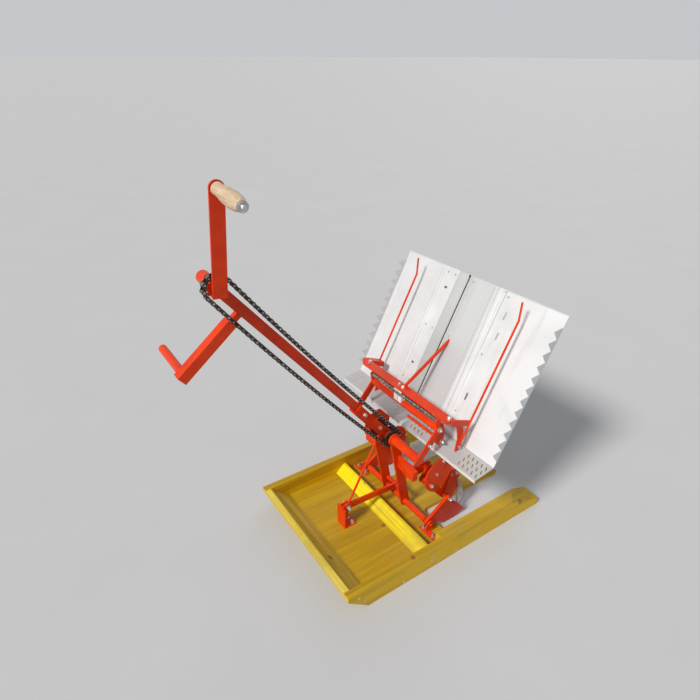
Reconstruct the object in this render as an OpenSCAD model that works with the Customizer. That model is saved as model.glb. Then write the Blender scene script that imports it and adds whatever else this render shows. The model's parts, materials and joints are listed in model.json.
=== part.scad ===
// Walk behind rice transplanter, hand cranked, two rows, on a wooden float sled.
// +X right as the operator faces the tray, +Y from operator to tray, +Z up, Z 0 on the floor.
// X 0 lies midway between the two rows, Y 0 at half the sled's length.

/* [Sled] */
// length of the sled
sled_l = 600; // [560:10:640]
// thickness of every sled board
board_t = 18; // [16:1:20]
// height of the side rails
rail_h = 58; // [52:1:64]
// outer face of the left rail, from the row centre
sled_left = 185; // [182:1:195]
// outer face of the right rail, from the row centre
sled_right = 215; // [212:1:225]
// thickness of the deck
deck_t = 12; // [10:1:13]
// height of the cut that lifts the sled's nose
nose_h = 46; // [36:1:48]
// length of the cut that lifts the sled's nose
nose_l = 54; // [44:1:62]
// half the width of the tongue between the two planting slots
tongue_w = 72; // [64:1:76]
// height of the cross batten
batten_h = 23.5; // [18:0.5:26]
// width of the cross batten on the deck
batten_w = 31; // [26:1:36]
// distance of the front foot's pivot from the sled's nose
front_setback = 140; // [136:1:144]
// place of the batten's back face along the sled
batten_y = -53; // [-58:1:-50]

/* [Frame] */
// outer radius of the main shaft's housing tube
house_r = 11; // [10:0.5:12]
// inner face of the left end plate, from the row centre
end_left = 115; // [114:1:116]
// inner face of the right end plate, from the row centre
end_right = 125; // [122:1:126]
// width of the end plates
end_w = 18; // [16:1:22]
// middle of each flat leg
leg_x = 37; // [36:0.5:38]
// width of the flat legs
leg_w = 25; // [22:1:28]
// thickness of the legs
leg_t = 5; // [4:0.5:6]
// thickness of the other plates
plate_t = 4; // [3:0.5:5]
// radius of the foot cross tube
foot_r = 7.5; // [6.5:0.5:8.5]
// length of the foot cross tube
foot_l = 236; // [232:1:238]
// radius of the guide tube
guide_r = 8; // [7:0.5:9]
// outer radius of the crank's bearing tube
boss_r = 12; // [11.5:0.5:12.5]
// radius of the brace between the legs
brace_r = 6; // [5:0.5:7]
// radius of the thin round strut
strut_r = 2.9; // [2.4:0.1:2.9]
// side of the square beam and of the hand hold's bar
beam_w = 20; // [18:0.5:22]
// distance of the hand hold from the crank, along the beam
hold_setback = 78.25; // [70.25:1:90.25]
// length of the hand hold's bar
hold_l = 151; // [130:1:160]
// radius of the hand hold's grip tube
hold_r = 8; // [7:0.5:9]
// length of the hand hold's grip tube
hold_grip_l = 108; // [90:1:120]

/* [Places] */
// main shaft, along the sled
main_y = -51; // [-52:0.5:-49]
// main shaft, height
main_z = 247.8; // [247:0.2:249]
// foot cross tube, along the sled
foot_y = -5; // [-6:0.5:-4]
// foot cross tube, height
foot_z = 32; // [31:0.5:34]
// guide tube, along the sled
guide_y = 0; // [-1:0.5:1]
// guide tube, height
guide_z = 313; // [312:0.5:314]
// planting shaft, along the sled
plant_y = 12; // [11.5:0.5:12.5]
// planting shaft, height
plant_z = 175; // [174.5:0.5:175.5]
// pivot of the front foot, height
front_z = 66; // [62:1:70]
// fold of the tray, along the sled
fold_y = 55; // [54:0.5:56]
// fold of the tray, height
fold_z = 262; // [261:0.5:263]

/* [Drive] */
// pitch of the roller chain
chain_pitch = 12.7; // [12.7]
// teeth on each chain sprocket
sprocket_n = 11; // [11]
// chain pitches on each straight strand
strand_n = 47.5; // [45.5:1:49.5]
// how far each strand hangs below its straight line
chain_sag = 6; // [0:1:7]
// middle of the chain
chain_x = 26; // [25.5:0.5:26]
// radius of the crank throw
crank_r = 160; // [140:1:165]
// width of the crank arm
crank_w = 25; // [22:1:28]
// radius of every shaft
shaft_r = 6; // [5.5:0.5:6.5]
// length of the wooden grip
grip_l = 86; // [76:1:96]
// radius of the feed screw
screw_r = 6; // [5.5:0.5:6]
// slope of the grip down from level
grip_tilt = 5.5; // [0:0.5:6]
// teeth on each of the three planting gears
gear_n = 16; // [16]
// width of the planting gears
gear_w = 8; // [7:0.5:8]

/* [Planting] */
// distance of each planting arm from the row centre
row_x = 106; // [105:0.5:107]
// throw of the planting crank
throw_r = 30; // [28:0.5:31]
// thickness of the planting arm
arm_t = 6; // [5:0.5:6]
// radius of the crank plate
leaf_r = 62; // [56:1:62]
// thickness of the rocker
rocker_t = 8; // [6:0.5:8]
// radius of the pivot pins
pin_r = 4; // [3.5:0.5:4]

/* [Tray] */
// width of the seedling tray over both pans
tray_w = 502; // [480:2:520]
// length of the sloping plate
plate_l = 359; // [340:1:370]
// slope of the plate from level
tray_slope = 63.5; // [62.5:0.5:64.5]
// depth of the lip in front of the fold
lip_l = 55; // [54:0.5:55]
// fall of the lip from the fold to its front
lip_fall = 9; // [8:0.5:10]
// turned down rim of the lip
rim_h = 8; // [5:0.5:8]
// thickness of the tray's sheet
sheet_t = 1.5; // [1.2:0.1:2]
// gap between the two pans
pan_gap = 12; // [10:1:16]
// teeth on the outer edge of each pan
tooth_n = 12; // [10:1:14]
// height of those teeth
tooth_h = 23; // [16:1:26]
// height of the low walls between the two pans
wall_h = 6; // [4:1:14]
// length of the carriage bar
bar_l = 310; // [300:2:316]
// width of the carriage bar
bar_w = 25; // [22:1:26]
// height of the carriage bar over the guide tube
bar_rise = 37; // [36.5:0.5:38]
// how far the carriage bar stands to the right of the tray's middle
bar_shift = 8; // [0:1:10]
// radius of the press rods
rod_r = 2.5; // [2:0.5:3]
// distance of each press rod from the end of a centred carriage bar
press_gap = 12; // [11:1:15]
// distance of the press rods in front of the plate
press_off = 28; // [26:1:30]
// length of the press rods along the plate, from its fold to their bend
press_reach = 311; // [290:1:320]
// place of the centre stay's upper end, along the plate from its fold
stay_reach = 211; // [190:1:230]
// length of the ties behind the two pans
tie_l = 80; // [70:2:90]
// width of those ties
tie_w = 22; // [18:1:26]

/* [Hidden] */
$fn = 48;

fit = 0.05;             // clearance of every shaft and tube in its bore, on the radius
run = 1;                // side clearance beside a turning piece
red = [0.85, 0.18, 0.08];
yellow = [0.85, 0.68, 0.05];
silver = [0.85, 0.85, 0.85];
steel = [0.6, 0.6, 0.62];
dark = [0.2, 0.18, 0.17];
white = [0.95, 0.95, 0.93];
wood = [0.8, 0.68, 0.5];

// places, each as [y, z]
main_axis = [main_y, main_z];
foot_axis = [foot_y, foot_z];
guide_axis = [guide_y, guide_z];
screw_axis = guide_axis + [-5, 25];
low_axis = guide_axis + [14, -40];
plant_axis = [plant_y, plant_z];
idler_axis = (main_axis + plant_axis) / 2;
front_y = front_setback - sled_l / 2;
front_pivot = [front_y, front_z];
brace_axis = foot_axis + [0, 26.5];
strut_top = main_axis + [-23.5, -14];
pin_at_rest = plant_axis + throw_r * [cos(233), sin(233)];
rocker_eye = foot_axis + [64, 44];
fork_tip = rocker_eye + [59, -64];
fold = [fold_y, fold_z];
lip_front = fold - [lip_l, lip_fall];

// the beam and the chain run along one line from the main shaft up to the crank
slope = atan2(0.7725, -0.635);
along_beam = [cos(slope), sin(slope)];
beam_l = strand_n * chain_pitch;
hold_u = beam_l - hold_setback;
crank_axis = main_axis + beam_l * along_beam;
grip_axis = crank_axis + crank_r * [sin(4.5), cos(4.5)];
pitch_r = chain_pitch / 2 / sin(180 / sprocket_n);
roller_r = 3.9;
link_in = 3.9;          // half the space between the inner plates of the chain
link_t = 1.2;           // thickness of a chain plate
link_h = 8;             // height of a chain plate
gear_m = norm(idler_axis - main_axis) / gear_n;
gear_line = atan2(plant_axis[1] - main_axis[1], plant_axis[0] - main_axis[0]);
gear_x = -24;

// stations across the machine, from the row centre outwards
bearing_x = row_x - 20;
leaf_x = row_x + 16;
rocker_x = row_x + 20;
foot_plate_x = row_x + 28;

sled_front = -sled_l / 2;
sled_back = sled_l / 2;
inner_left = board_t - sled_left;
inner_right = sled_right - board_t;
deck_start = sled_front + nose_l + deck_t;
slot_start = 27;
slot_corner = 14;
shave_y = sled_back - 107;

tray_x = -4;
press_x = bar_l / 2 + press_gap;
bar_z = guide_z + bar_rise;
shoe_w = 12;
up_plate = [cos(tray_slope), sin(tray_slope)];
off_plate = [-sin(tray_slope), cos(tray_slope)];
lip_slope = atan2(lip_fall, lip_l);
under_lip = [sin(lip_slope), -cos(lip_slope)];
// from the fold to the same corner on the back of the sheet
fold_back = sheet_t * (under_lip - off_plate) / (1 - under_lip * off_plate);

function plate_point(a, h) = fold + a * up_plate + h * off_plate;
function lip_point(y) = lip_front + (fold - lip_front) * (y - lip_front[0]) / lip_l;

// a flat shape drawn in [y, z], as thick as x0 to x1
module slab(x0, x1) {
  translate([x0, 0, 0]) rotate([90, 0, 90]) linear_extrude(x1 - x0) children();
}

// a flat shape drawn along and across the beam
module beam_slab(x0, x1) {
  slab(x0, x1) translate(main_axis) rotate(slope) children();
}

// a round bar along X
module rod_x(x0, x1, at, r) {
  translate([x0, at[0], at[1]]) rotate([0, 90, 0]) cylinder(r = r, h = x1 - x0);
}

// a round bar between two points [x, y, z]
module rod(p, q, r) {
  d = q - p;
  l = norm(d);
  translate(p) rotate([0, acos(d[2] / l), atan2(d[1], d[0])]) cylinder(r = r, h = l);
}

// the outline of a flat bar with round ends, between two points [y, z]
module strap(p, q, w) {
  d = q - p;
  translate(p) rotate(atan2(d[1], d[0])) translate([0, -w / 2]) square([norm(d), w]);
  translate(p) circle(r = w / 2 + 0.2);
  translate(q) circle(r = w / 2 + 0.2);
}

module disc(p, r) {
  translate(p) circle(r = r);
}

module mirror_left(side) {
  if (side > 0) children();
  else mirror([1, 0, 0]) children();
}

// the slopes shaved off the back end of a side rail, drawn for the right rail
module wood_cut(edge) {
  translate([edge, shave_y, rail_h + 0.6])
    rotate([0, 27.8, 43.1]) translate([-sled_l, -sled_l, 0]) cube([2 * sled_l, 2 * sled_l, sled_l]);
  translate([edge, sled_back + 3, -1]) rotate(25.3) translate([-sled_l, 0, 0])
    cube([2 * sled_l, sled_l, rail_h + 2]);
}

module rail_shape(y0) {
  slab(0, board_t) intersection() {
    polygon([[sled_front, nose_h], [sled_front + nose_l, 0], [sled_back + board_t, 0],
             [sled_back + board_t, rail_h], [sled_front, rail_h]]);
    translate([y0, 0]) square([2 * sled_l, rail_h]);
  }
}

module deck() {
  color(yellow) linear_extrude(deck_t) difference() {
    union() {
      translate([inner_left, deck_start]) square([inner_right - inner_left, slot_start - deck_start]);
      translate([-tongue_w, 0]) square([2 * tongue_w, sled_back]);
      for (x = [-tongue_w, tongue_w]) translate([x - slot_corner, slot_start - 1])
        square([2 * slot_corner, slot_corner + 1]);
    }
    for (x = [-tongue_w - slot_corner, tongue_w + slot_corner]) translate([x, slot_start + slot_corner])
      circle(r = slot_corner);
    translate([inner_right - board_t, slot_start - 55]) square([board_t, 60]);
  }
}

module nose_plank() {
  top = board_t * 0.78;
  color(yellow) slab(inner_left, inner_right)
    polygon([[sled_front, nose_h], [sled_front + nose_l, 0], [deck_start, 0], [deck_start, deck_t],
             [sled_front + top, rail_h], [sled_front, rail_h]]);
}

module rail_left() {
  color(yellow) mirror([1, 0, 0]) difference() {
    translate([sled_left - board_t, 0, 0]) rail_shape(sled_front);
    wood_cut(sled_left);
  }
}

module rail_right() {
  color(yellow) difference() {
    translate([inner_right, 0, 0]) rail_shape(sled_front);
    wood_cut(sled_right);
  }
}

module rail_inner() {
  color(yellow) difference() {
    translate([inner_right - board_t, 0, 0]) rail_shape(slot_start - 55);
    wood_cut(sled_right);
  }
}

module batten() {
  front = batten_y - batten_w;
  color(yellow) slab(inner_left, inner_right)
    polygon([[front, deck_t], [batten_y - 7, deck_t + batten_h],
             [batten_y, deck_t + batten_h], [batten_y, deck_t]]);
}

module front_foot() {
  base = 3;
  half = 17;
  color(red) union() {
    difference() {
      translate([-half, front_y - half, deck_t]) cube([2 * half, 2 * half, base]);
      for (x = [-10, 10]) translate([x, front_y + 8, deck_t - 1]) cylinder(r = pin_r, h = base + 2);
    }
    translate([-half, front_y - half, deck_t]) cube([2 * half, plate_t, front_z - deck_t + 4]);
    for (x = [-plate_t - 3, 3]) slab(x, x + plate_t) difference() {
      union() {
        disc(front_pivot, 12);
        translate(front_pivot - [half - 2, 30]) square([half - 2, 41.5]);
      }
      disc(front_pivot, pin_r);
    }
  }
}

module base_strut_outline() {
  strap(front_pivot, brace_axis, 16);
}

module base_strut() {
  color(red) slab(-3 + fit, 3 - fit) difference() {
    base_strut_outline();
    disc(front_pivot, pin_r);
    disc(brace_axis, brace_r + fit);
  }
}

module leg_brace() {
  color(red) rod_x(-leg_x + leg_t / 2, leg_x - leg_t / 2, brace_axis, brace_r);
}

module front_strut() {
  color(red) difference() {
    rod([0, front_y + 6, front_z + 10], [0, strut_top[0], strut_top[1]], strut_r);
    slab(-strut_r - 1, strut_r + 1) base_strut_outline();
    slab(-strut_r - 1, strut_r + 1) strut_lug();
  }
}

module strut_lug() {
  strap(main_axis, strut_top, 14);
}

module foot_tube() {
  color(red) union() {
    rod_x(-foot_l / 2, foot_l / 2, foot_axis, foot_r);
    rod_x(-foot_plate_x - 8, foot_plate_x + 8, foot_axis, pin_r);
  }
}

module side_foot(side) {
  base = 3;
  color(red) mirror_left(side) union() {
    slab(foot_plate_x, foot_plate_x + plate_t) difference() {
      union() {
        strap(foot_axis, foot_axis - [3, 9], 20);
        polygon([[foot_y - 15, deck_t], [foot_y + 13, deck_t], foot_axis + [10, 2], foot_axis + [-10, 2]]);
      }
      disc(foot_axis, pin_r + fit);
    }
    difference() {
      translate([foot_plate_x - 20, foot_y - 17, deck_t]) cube([51, 16, base]);
      for (x = [foot_plate_x - 11, foot_plate_x + 23]) translate([x, foot_y - 9, deck_t - 1])
        cylinder(r = 3.5, h = base + 2);
    }
  }
}

module side_foot_right() {
  side_foot(1);
}

module side_foot_left() {
  side_foot(-1);
}

module leg(side) {
  color(red) mirror_left(side) slab(leg_x - leg_t / 2, leg_x + leg_t / 2) difference() {
    union() {
      strap(foot_axis, main_axis, leg_w);
      disc(main_axis, house_r + 5);
    }
    disc(foot_axis, foot_r + fit);
    disc(main_axis, house_r + fit);
  }
}

module leg_right() {
  leg(1);
}

module leg_left() {
  leg(-1);
}

module shaft_tube(x0, x1) {
  color(red) slab(x0, x1) difference() {
    disc(main_axis, house_r);
    disc(main_axis, shaft_r + fit);
  }
}

module shaft_tube_left() {
  shaft_tube(-end_left, gear_x - gear_w / 2 - run);
}

module shaft_tube_right() {
  shaft_tube(chain_x + 7.5, end_right);
}

module shaft_tube_centre() {
  color(red) union() {
    shaft_tube(gear_x + gear_w / 2 + run, chain_x - 8);
    slab(-3, 3) difference() {
      strut_lug();
      disc(main_axis, house_r - 1);
    }
  }
}

module cross_bar(side) {
  back = plant_y - 44;
  color(red) mirror_left(side) union() {
    translate([leg_x + leg_t / 2, back - 5, plant_z - 17]) cube([row_x - leg_x - 13, 5, 38]);
    if (side > 0) translate([row_x - 34, back - 18, plant_z - 4]) cube([38, 14, 26]);
  }
}

module cross_bar_right() {
  cross_bar(1);
}

module cross_bar_left() {
  cross_bar(-1);
}

module bearing(side) {
  back = plant_y - 44;
  color(red) mirror_left(side) difference() {
    union() {
      slab(bearing_x - plate_t / 2, bearing_x + plate_t / 2) union() {
        polygon([[back, plant_z - 15], [back, plant_z + 19], plant_axis + [0, 13], plant_axis - [0, 13]]);
        disc(plant_axis, 13.2);
      }
      rod_x(bearing_x - 6, bearing_x + 6, plant_axis, 10);
    }
    rod_x(bearing_x - 10, bearing_x + 10, plant_axis, shaft_r + fit);
  }
}

module bearing_right() {
  bearing(1);
}

module bearing_left() {
  bearing(-1);
}

module idler_plate() {
  face = -leg_x + leg_t / 2;
  color(red) union() {
    slab(face, face + 3) strap(idler_axis - [25, 1], idler_axis, 18);
    rod_x(face, gear_x + gear_w / 2 + 2, idler_axis, pin_r);
  }
}

module end_plate(x) {
  color(red) slab(x, x + plate_t) union() {
    strap(main_axis - [4, 4], guide_axis, end_w);
    strap(guide_axis, screw_axis, 12);
  }
}

module end_plate_right() {
  end_plate(end_right);
}

module end_plate_left() {
  end_plate(-end_left - plate_t);
}

module guide_tube() {
  color(red) rod_x(-end_left, end_right, guide_axis, guide_r);
}

// the plate beside the right end plate, with the low bar that it carries
module drive_plate() {
  inner = end_right - plate_t + 1;
  color(red) union() {
    slab(inner, end_right) difference() {
      polygon([guide_axis + [4, 11], guide_axis + [14, 10], guide_axis + [21, -13], guide_axis + [21, -47],
               guide_axis + [6, -50], guide_axis + [-8, -33], guide_axis + [-2, -11]]);
      disc(guide_axis, guide_r + fit);
    }
    rod_x(gear_x + 30, inner + 1, low_axis, 3.5);
  }
}

module beam() {
  wall = 2;
  start = house_r + 3;
  color(red) difference() {
    beam_slab(-beam_w / 2, beam_w / 2) translate([start, -beam_w / 2]) square([beam_l - start, beam_w]);
    rod_x(-beam_w, beam_w, crank_axis, boss_r + fit);
    beam_slab(wall - beam_w / 2, beam_w / 2 - wall) translate([start - 1, wall - beam_w / 2])
      square([beam_l - start - 24, beam_w - 2 * wall]);
  }
}

module beam_sleeve() {
  wall = 5;
  half = beam_w / 2;
  color(red) difference() {
    union() {
      for (x = [-half - wall, half]) beam_slab(x, x + wall) translate([0, -half]) square([140, beam_w]);
      beam_slab(-half - wall, half + wall) translate([house_r + 3, half]) square([129 - house_r, wall]);
    }
    rod_x(-beam_w, beam_w, main_axis, house_r + fit);
  }
}

module hand_hold() {
  half = beam_w / 2;
  color(red) union() {
    beam_slab(-half + 4, half - 4) translate([hold_u - 6, half]) square([12, 20]);
    beam_slab(-half, half) translate([hold_u - half, half + 16]) square([beam_w, hold_l - 16]);
    beam_slab(-half - hold_grip_l, -half + 1) translate([hold_u, hold_l]) circle(r = hold_r);
  }
}

module crank_bearing() {
  color(red) slab(-35, chain_x - 8) difference() {
    disc(crank_axis, boss_r);
    disc(crank_axis, shaft_r + fit);
  }
}

// how far a straight strand hangs down at a share t of its length
function sag_at(t) = 4 * chain_sag * t * (1 - t);

// centre of chain roller i, along the beam and across it
function roller_at(i) =
  let (half = sprocket_n / 2, step = 360 / sprocket_n)
  i <= strand_n ? [i * chain_pitch, pitch_r - sag_at(i / strand_n)] :
  i <= strand_n + half ?
    [beam_l + pitch_r * sin((i - strand_n) * step), pitch_r * cos((i - strand_n) * step)] :
  i <= 2 * strand_n + half ?
    [beam_l - (i - strand_n - half) * chain_pitch, -pitch_r - sag_at((i - strand_n - half) / strand_n)] :
    [-pitch_r * sin((i - 2 * strand_n - half) * step), -pitch_r * cos((i - 2 * strand_n - half) * step)];

module chain() {
  links = 2 * strand_n + sprocket_n;
  color(dark) translate([chain_x, main_y, main_z]) rotate([90, 0, 90]) rotate(slope)
    for (i = [0 : links - 1]) {
      p = roller_at(i);
      q = roller_at((i + 1) % links);
      inner = i % 2 == 0;
      near = inner ? link_in : link_in + link_t - fit;
      translate([p[0], -p[1], 0]) rotate(atan2(p[1] - q[1], q[0] - p[0])) {
        for (z = [near, -near - link_t]) translate([-link_h / 2, -link_h / 2, z])
          cube([chain_pitch + link_h, link_h, link_t]);
        if (inner) for (x = [0, chain_pitch]) translate([x, 0, -link_in])
          cylinder(r = roller_r, h = 2 * link_in, $fn = 6);
      }
    }
}

// the toothed wheel inside the chain, its tips just short of the rollers so that it can turn
module sprocket_outline() {
  tip_r = pitch_r - roller_r - 0.4;
  root_r = tip_r - 3;
  half_step = 180 / sprocket_n;
  union() {
    circle(r = root_r);
    for (k = [0 : sprocket_n - 1]) rotate((2 * k + 1) * half_step)
      polygon([[root_r - 4, -3.8], [tip_r - 0.6, -1.6], [tip_r, -0.8], [tip_r, 0.8], [tip_r - 0.6, 1.6],
               [root_r - 4, 3.8]]);
  }
}

module sprocket(axis) {
  slab(chain_x - 3.5, chain_x + 3.5) translate(axis) rotate(slope) sprocket_outline();
}

module crank_shaft() {
  color(red) union() {
    rod_x(-36, chain_x + 18, crank_axis, shaft_r);
    sprocket(crank_axis);
    rod_x(chain_x - 7, chain_x + 13, crank_axis, 10);
  }
}

module crank_arm() {
  x = chain_x + 14;
  up = grip_axis - crank_axis;
  color(red) slab(x, x + plate_t) difference() {
    union() {
      translate(crank_axis) rotate(atan2(up[1], up[0])) translate([-crank_w / 2, -crank_w / 2])
        square([crank_r + crank_w / 2, crank_w]);
      disc(grip_axis, crank_w / 2 + 0.2);
    }
    disc(crank_axis, shaft_r + fit);
  }
}

// along the grip from the outer face of the crank arm
module on_grip() {
  translate([chain_x + 14 + plate_t, grip_axis[0], grip_axis[1]]) rotate([0, 90 + grip_tilt, 0]) children();
}

module grip_spindle() {
  start = 1.3;
  color(steel) difference() {
    on_grip() union() {
      translate([0, 0, -1]) cylinder(r = pin_r, h = start + grip_l + 4);
      translate([0, 0, start + grip_l]) cylinder(r = 8.5, h = 4);
    }
    slab(0, chain_x + 14 + plate_t) disc(grip_axis, crank_w);
  }
}

module crank_grip() {
  color(wood) on_grip() translate([0, 0, 1.2 + 0.05]) rotate_extrude() polygon([
    [pin_r + fit, 0], [10.5, 0], [10, grip_l * 0.15], [12.5, grip_l * 0.4], [13.5, grip_l * 0.65],
    [12, grip_l * 0.85], [8.8, grip_l], [pin_r + fit, grip_l]]);
}

// a spur gear's outline with one tooth at the angle phase
module gear_outline(phase) {
  step = 360 / gear_n;
  flank = [[-0.3, -1.2], [-0.11, 0.9], [0.11, 0.9], [0.3, -1.2]];
  rotate(phase) polygon([for (k = [0 : gear_n - 1]) for (c = flank)
    gear_m * (gear_n / 2 + c[1]) * [cos((k + c[0]) * step), sin((k + c[0]) * step)]]);
}

module gear_slab() {
  slab(gear_x - gear_w / 2, gear_x + gear_w / 2) children();
}

module main_shaft() {
  color(dark) union() {
    rod_x(1 - end_left, end_right - 1, main_axis, shaft_r);
    sprocket(main_axis);
    rod_x(chain_x - 7, chain_x + 6, main_axis, 10);
    gear_slab() translate(main_axis) gear_outline(gear_line);
  }
}

module idler_gear() {
  color(dark) gear_slab() difference() {
    translate(idler_axis) gear_outline(gear_line + 180 / gear_n);
    disc(idler_axis, pin_r + fit);
  }
}

module feed_screw() {
  pitch = 13;
  screw_l = end_left + end_right;
  turns = floor((screw_l - 8) / pitch);
  groove = [[screw_r, 0], [screw_r, 5], [screw_r - 1.5, 7], [screw_r - 1.5, 10]];
  color(steel) translate([-end_left, screw_axis[0], screw_axis[1]]) rotate([0, 90, 0]) rotate_extrude()
    polygon(concat([[0, 0], [4, 0]],
      [for (k = [0 : turns - 1]) for (c = groove) [c[0], 4 + k * pitch + c[1]]],
      [[4, screw_l], [0, screw_l]]));
}

module planting_shaft() {
  web_x = bearing_x + 10;
  color(red) union() {
    rod_x(-web_x - 1, web_x + 1, plant_axis, shaft_r);
    gear_slab() translate(plant_axis) gear_outline(gear_line);
    for (s = [-1, 1]) mirror_left(s) {
      slab(web_x - 2, web_x + 2) strap(plant_axis, pin_at_rest, 20);
      rod_x(web_x, leaf_x + 6, pin_at_rest, pin_r + 1);
      slab(leaf_x - 2, leaf_x + 2) difference() {
        union() {
          intersection() {
            translate(plant_axis + [14, -8]) circle(r = leaf_r - 14);
            translate(plant_axis + [-14, 6]) circle(r = leaf_r);
            disc(plant_axis, leaf_r);
          }
          disc(pin_at_rest, 11);
        }
        translate(plant_axis + [28, 14]) rotate(50) square([16, 3], center = true);
      }
    }
  }
}

module planting_arm(s) {
  half = arm_t / 2;
  color(red) union() {
    slab(s * row_x - half, s * row_x + half) difference() {
      union() {
        strap(pin_at_rest, rocker_eye, 18);
        polygon([rocker_eye + [-7, 6], rocker_eye + [3, 64], rocker_eye + [20, 70], rocker_eye + [40, 62],
                 rocker_eye + [57, 16], rocker_eye + [29, -26], rocker_eye + [5, -8]]);
      }
      disc(pin_at_rest, pin_r + 1 + fit);
    }
    slab(s * (row_x + 9) - 7, s * (row_x + 9) + 7) disc(rocker_eye, pin_r);
  }
}

module planting_arm_right() {
  planting_arm(1);
}

module planting_arm_left() {
  planting_arm(-1);
}

module fork(s) {
  half = arm_t / 2;
  for (x = [-half - 4, half]) color(steel) slab(s * row_x + x, s * row_x + x + 4)
    polygon([fork_tip + [-22, 98], fork_tip + [-10, 98], fork_tip + [6, 48], fork_tip + [2, 0],
             fork_tip + [-2, 0], fork_tip + [-5, 48]]);
}

module fork_right() {
  fork(1);
}

module fork_left() {
  fork(-1);
}

module rocker(side) {
  color(red) mirror_left(side) slab(rocker_x - rocker_t / 2, rocker_x + rocker_t / 2) difference() {
    union() {
      strap(foot_axis, rocker_eye, 18);
      polygon([foot_axis + [3, -6], foot_axis + [35, -13], foot_axis + [49, -26], foot_axis + [85, -26],
               foot_axis + [121, -17], foot_axis + [105, 6], rocker_eye + [5, -5]]);
    }
    disc(foot_axis, pin_r + fit);
    disc(rocker_eye, pin_r);
  }
}

module rocker_right() {
  rocker(1);
}

module rocker_left() {
  rocker(-1);
}

// the bent sheet of a pan in [y, z], from the rim of its lip to the top of its plate
module pan_profile() {
  polygon([lip_front, fold, plate_point(plate_l, 0), plate_point(plate_l, -sheet_t), fold + fold_back,
           lip_front + [sheet_t, 0.24 - sheet_t], lip_front + [sheet_t, -rim_h], lip_front - [0, rim_h]]);
}

// one edge of triangular teeth bent forward, in [y, z]
module tooth_row() {
  first = 16;
  last = plate_l - 28;
  pitch = (last - first) / tooth_n;
  tooth = [[0.5, tooth_h], [1, 1]];
  polygon(concat([plate_point(first, 1)],
    [for (k = [0 : tooth_n - 1]) for (c = tooth) plate_point(first + pitch * (k + c[0]), c[1])],
    [plate_point(last, -sheet_t / 2), plate_point(first, -sheet_t / 2)]));
}

// a pan drawn for the right side; slots is a table of [across, along] of its long holes
module pan(side, slots) {
  near = pan_gap / 2;
  far = tray_w / 2;
  lip_hole = [2.6, 13];
  first_hole = lip_front[0] + 12;
  under = lip_front[1] - 13;
  color(silver) translate([tray_x, 0, 0]) mirror_left(side) union() {
    difference() {
      slab(near, far) pan_profile();
      for (g = [0.14, 0.86]) for (i = [0 : 4]) for (j = [0 : 2])
        translate([near + g * (far - near) + 13 * (i - 2), first_hole + 15 * j, under]) rotate(27)
          translate([-lip_hole[0] / 2, -lip_hole[1] / 2, 0]) cube([lip_hole[0], lip_hole[1], 30]);
      for (a = slots) translate([a[0], plate_point(a[1], 0)[0], plate_point(a[1], 0)[1]])
        rotate([tray_slope, 0, 0]) translate([-2.5, -9, -6]) cube([5, 18, 12]);
    }
    slab(far - sheet_t - 0.1, far - 0.1) tooth_row();
    slab(near + 0.1, near + sheet_t + 0.1)
      polygon([plate_point(3, -0.5), plate_point(8, wall_h),
               plate_point(plate_l, wall_h), plate_point(plate_l, -0.5)]);
    for (r = [[86, 3, 4], [42, 2, 16]]) slab(r[0] - r[2], r[0] + r[2])
      polygon([plate_point(4, -0.5), plate_point(8, r[1]),
               plate_point(plate_l - 6, r[1]), plate_point(plate_l - 2, -0.5)]);
  }
}

module tray_right() {
  pan(1, [[111, 304], [109, 101], [115, 256]]);
}

module tray_left() {
  pan(-1, [[62, 306], [65, 104]]);
}

module tray_ties() {
  back = -sheet_t - 2;
  for (a = [40, 200, 330]) color(silver) translate([tray_x, 0, 0]) slab(-tie_l / 2, tie_l / 2)
    polygon([plate_point(a, -sheet_t), plate_point(a + tie_w, -sheet_t),
             plate_point(a + tie_w, back), plate_point(a, back)]);
}

module carriage_bar() {
  half = bar_l / 2;
  top = guide_y + 16;
  color(red) translate([tray_x + bar_shift, 0, 0]) union() {
    translate([-half, guide_y - 11.5, bar_z]) cube([bar_l, bar_w, plate_t]);
    for (x = [-half + 1, half - 1 - plate_t]) slab(x, x + plate_t)
      polygon([[top - 11, bar_z + 1], [top - 4, bar_z + 1], [top, bar_z], [top + 24, bar_z - 21],
               [top + 34, bar_z - 57], lip_point(42) + [0, fit], lip_point(28) + [0, fit],
               [top + 16, bar_z - 59], [top + 11, bar_z - 28], [top - 4, bar_z - 10], [top - 11, bar_z - 7]]);
  }
}

module carriage_shoes() {
  for (x = [-20, -6]) color(white) translate([tray_x, 0, 0]) slab(x, x + shoe_w) difference() {
    translate([guide_y - 9, guide_z + 3]) square([18, bar_rise - 3]);
    disc(guide_axis, guide_r + fit);
    disc(screw_axis, screw_r + fit);
  }
}

module press_rod(s) {
  low = plate_point(8, press_off);
  bend = plate_point(press_reach, press_off);
  tip = plate_point(press_reach - 2, press_off);
  mid = plate_point(62, press_off);
  bar_end = bar_l / 2 + s * bar_shift;
  color(red) translate([tray_x, 0, 0]) mirror_left(s) union() {
    rod([press_x, low[0], low[1]], [press_x, bend[0], bend[1]], rod_r);
    rod([press_x, tip[0], tip[1]], [press_x, tip[0] + 2, tip[1] + 42], rod_r - 0.2);
    slab(bar_end, press_x) polygon([[guide_y + 2, bar_z - 8], mid - [0, 9], mid + [1, 5],
      [guide_y + 12, bar_z + plate_t], [guide_y + 2, bar_z + plate_t]]);
  }
}

module press_rod_right() {
  press_rod(1);
}

module press_rod_left() {
  press_rod(-1);
}

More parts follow.
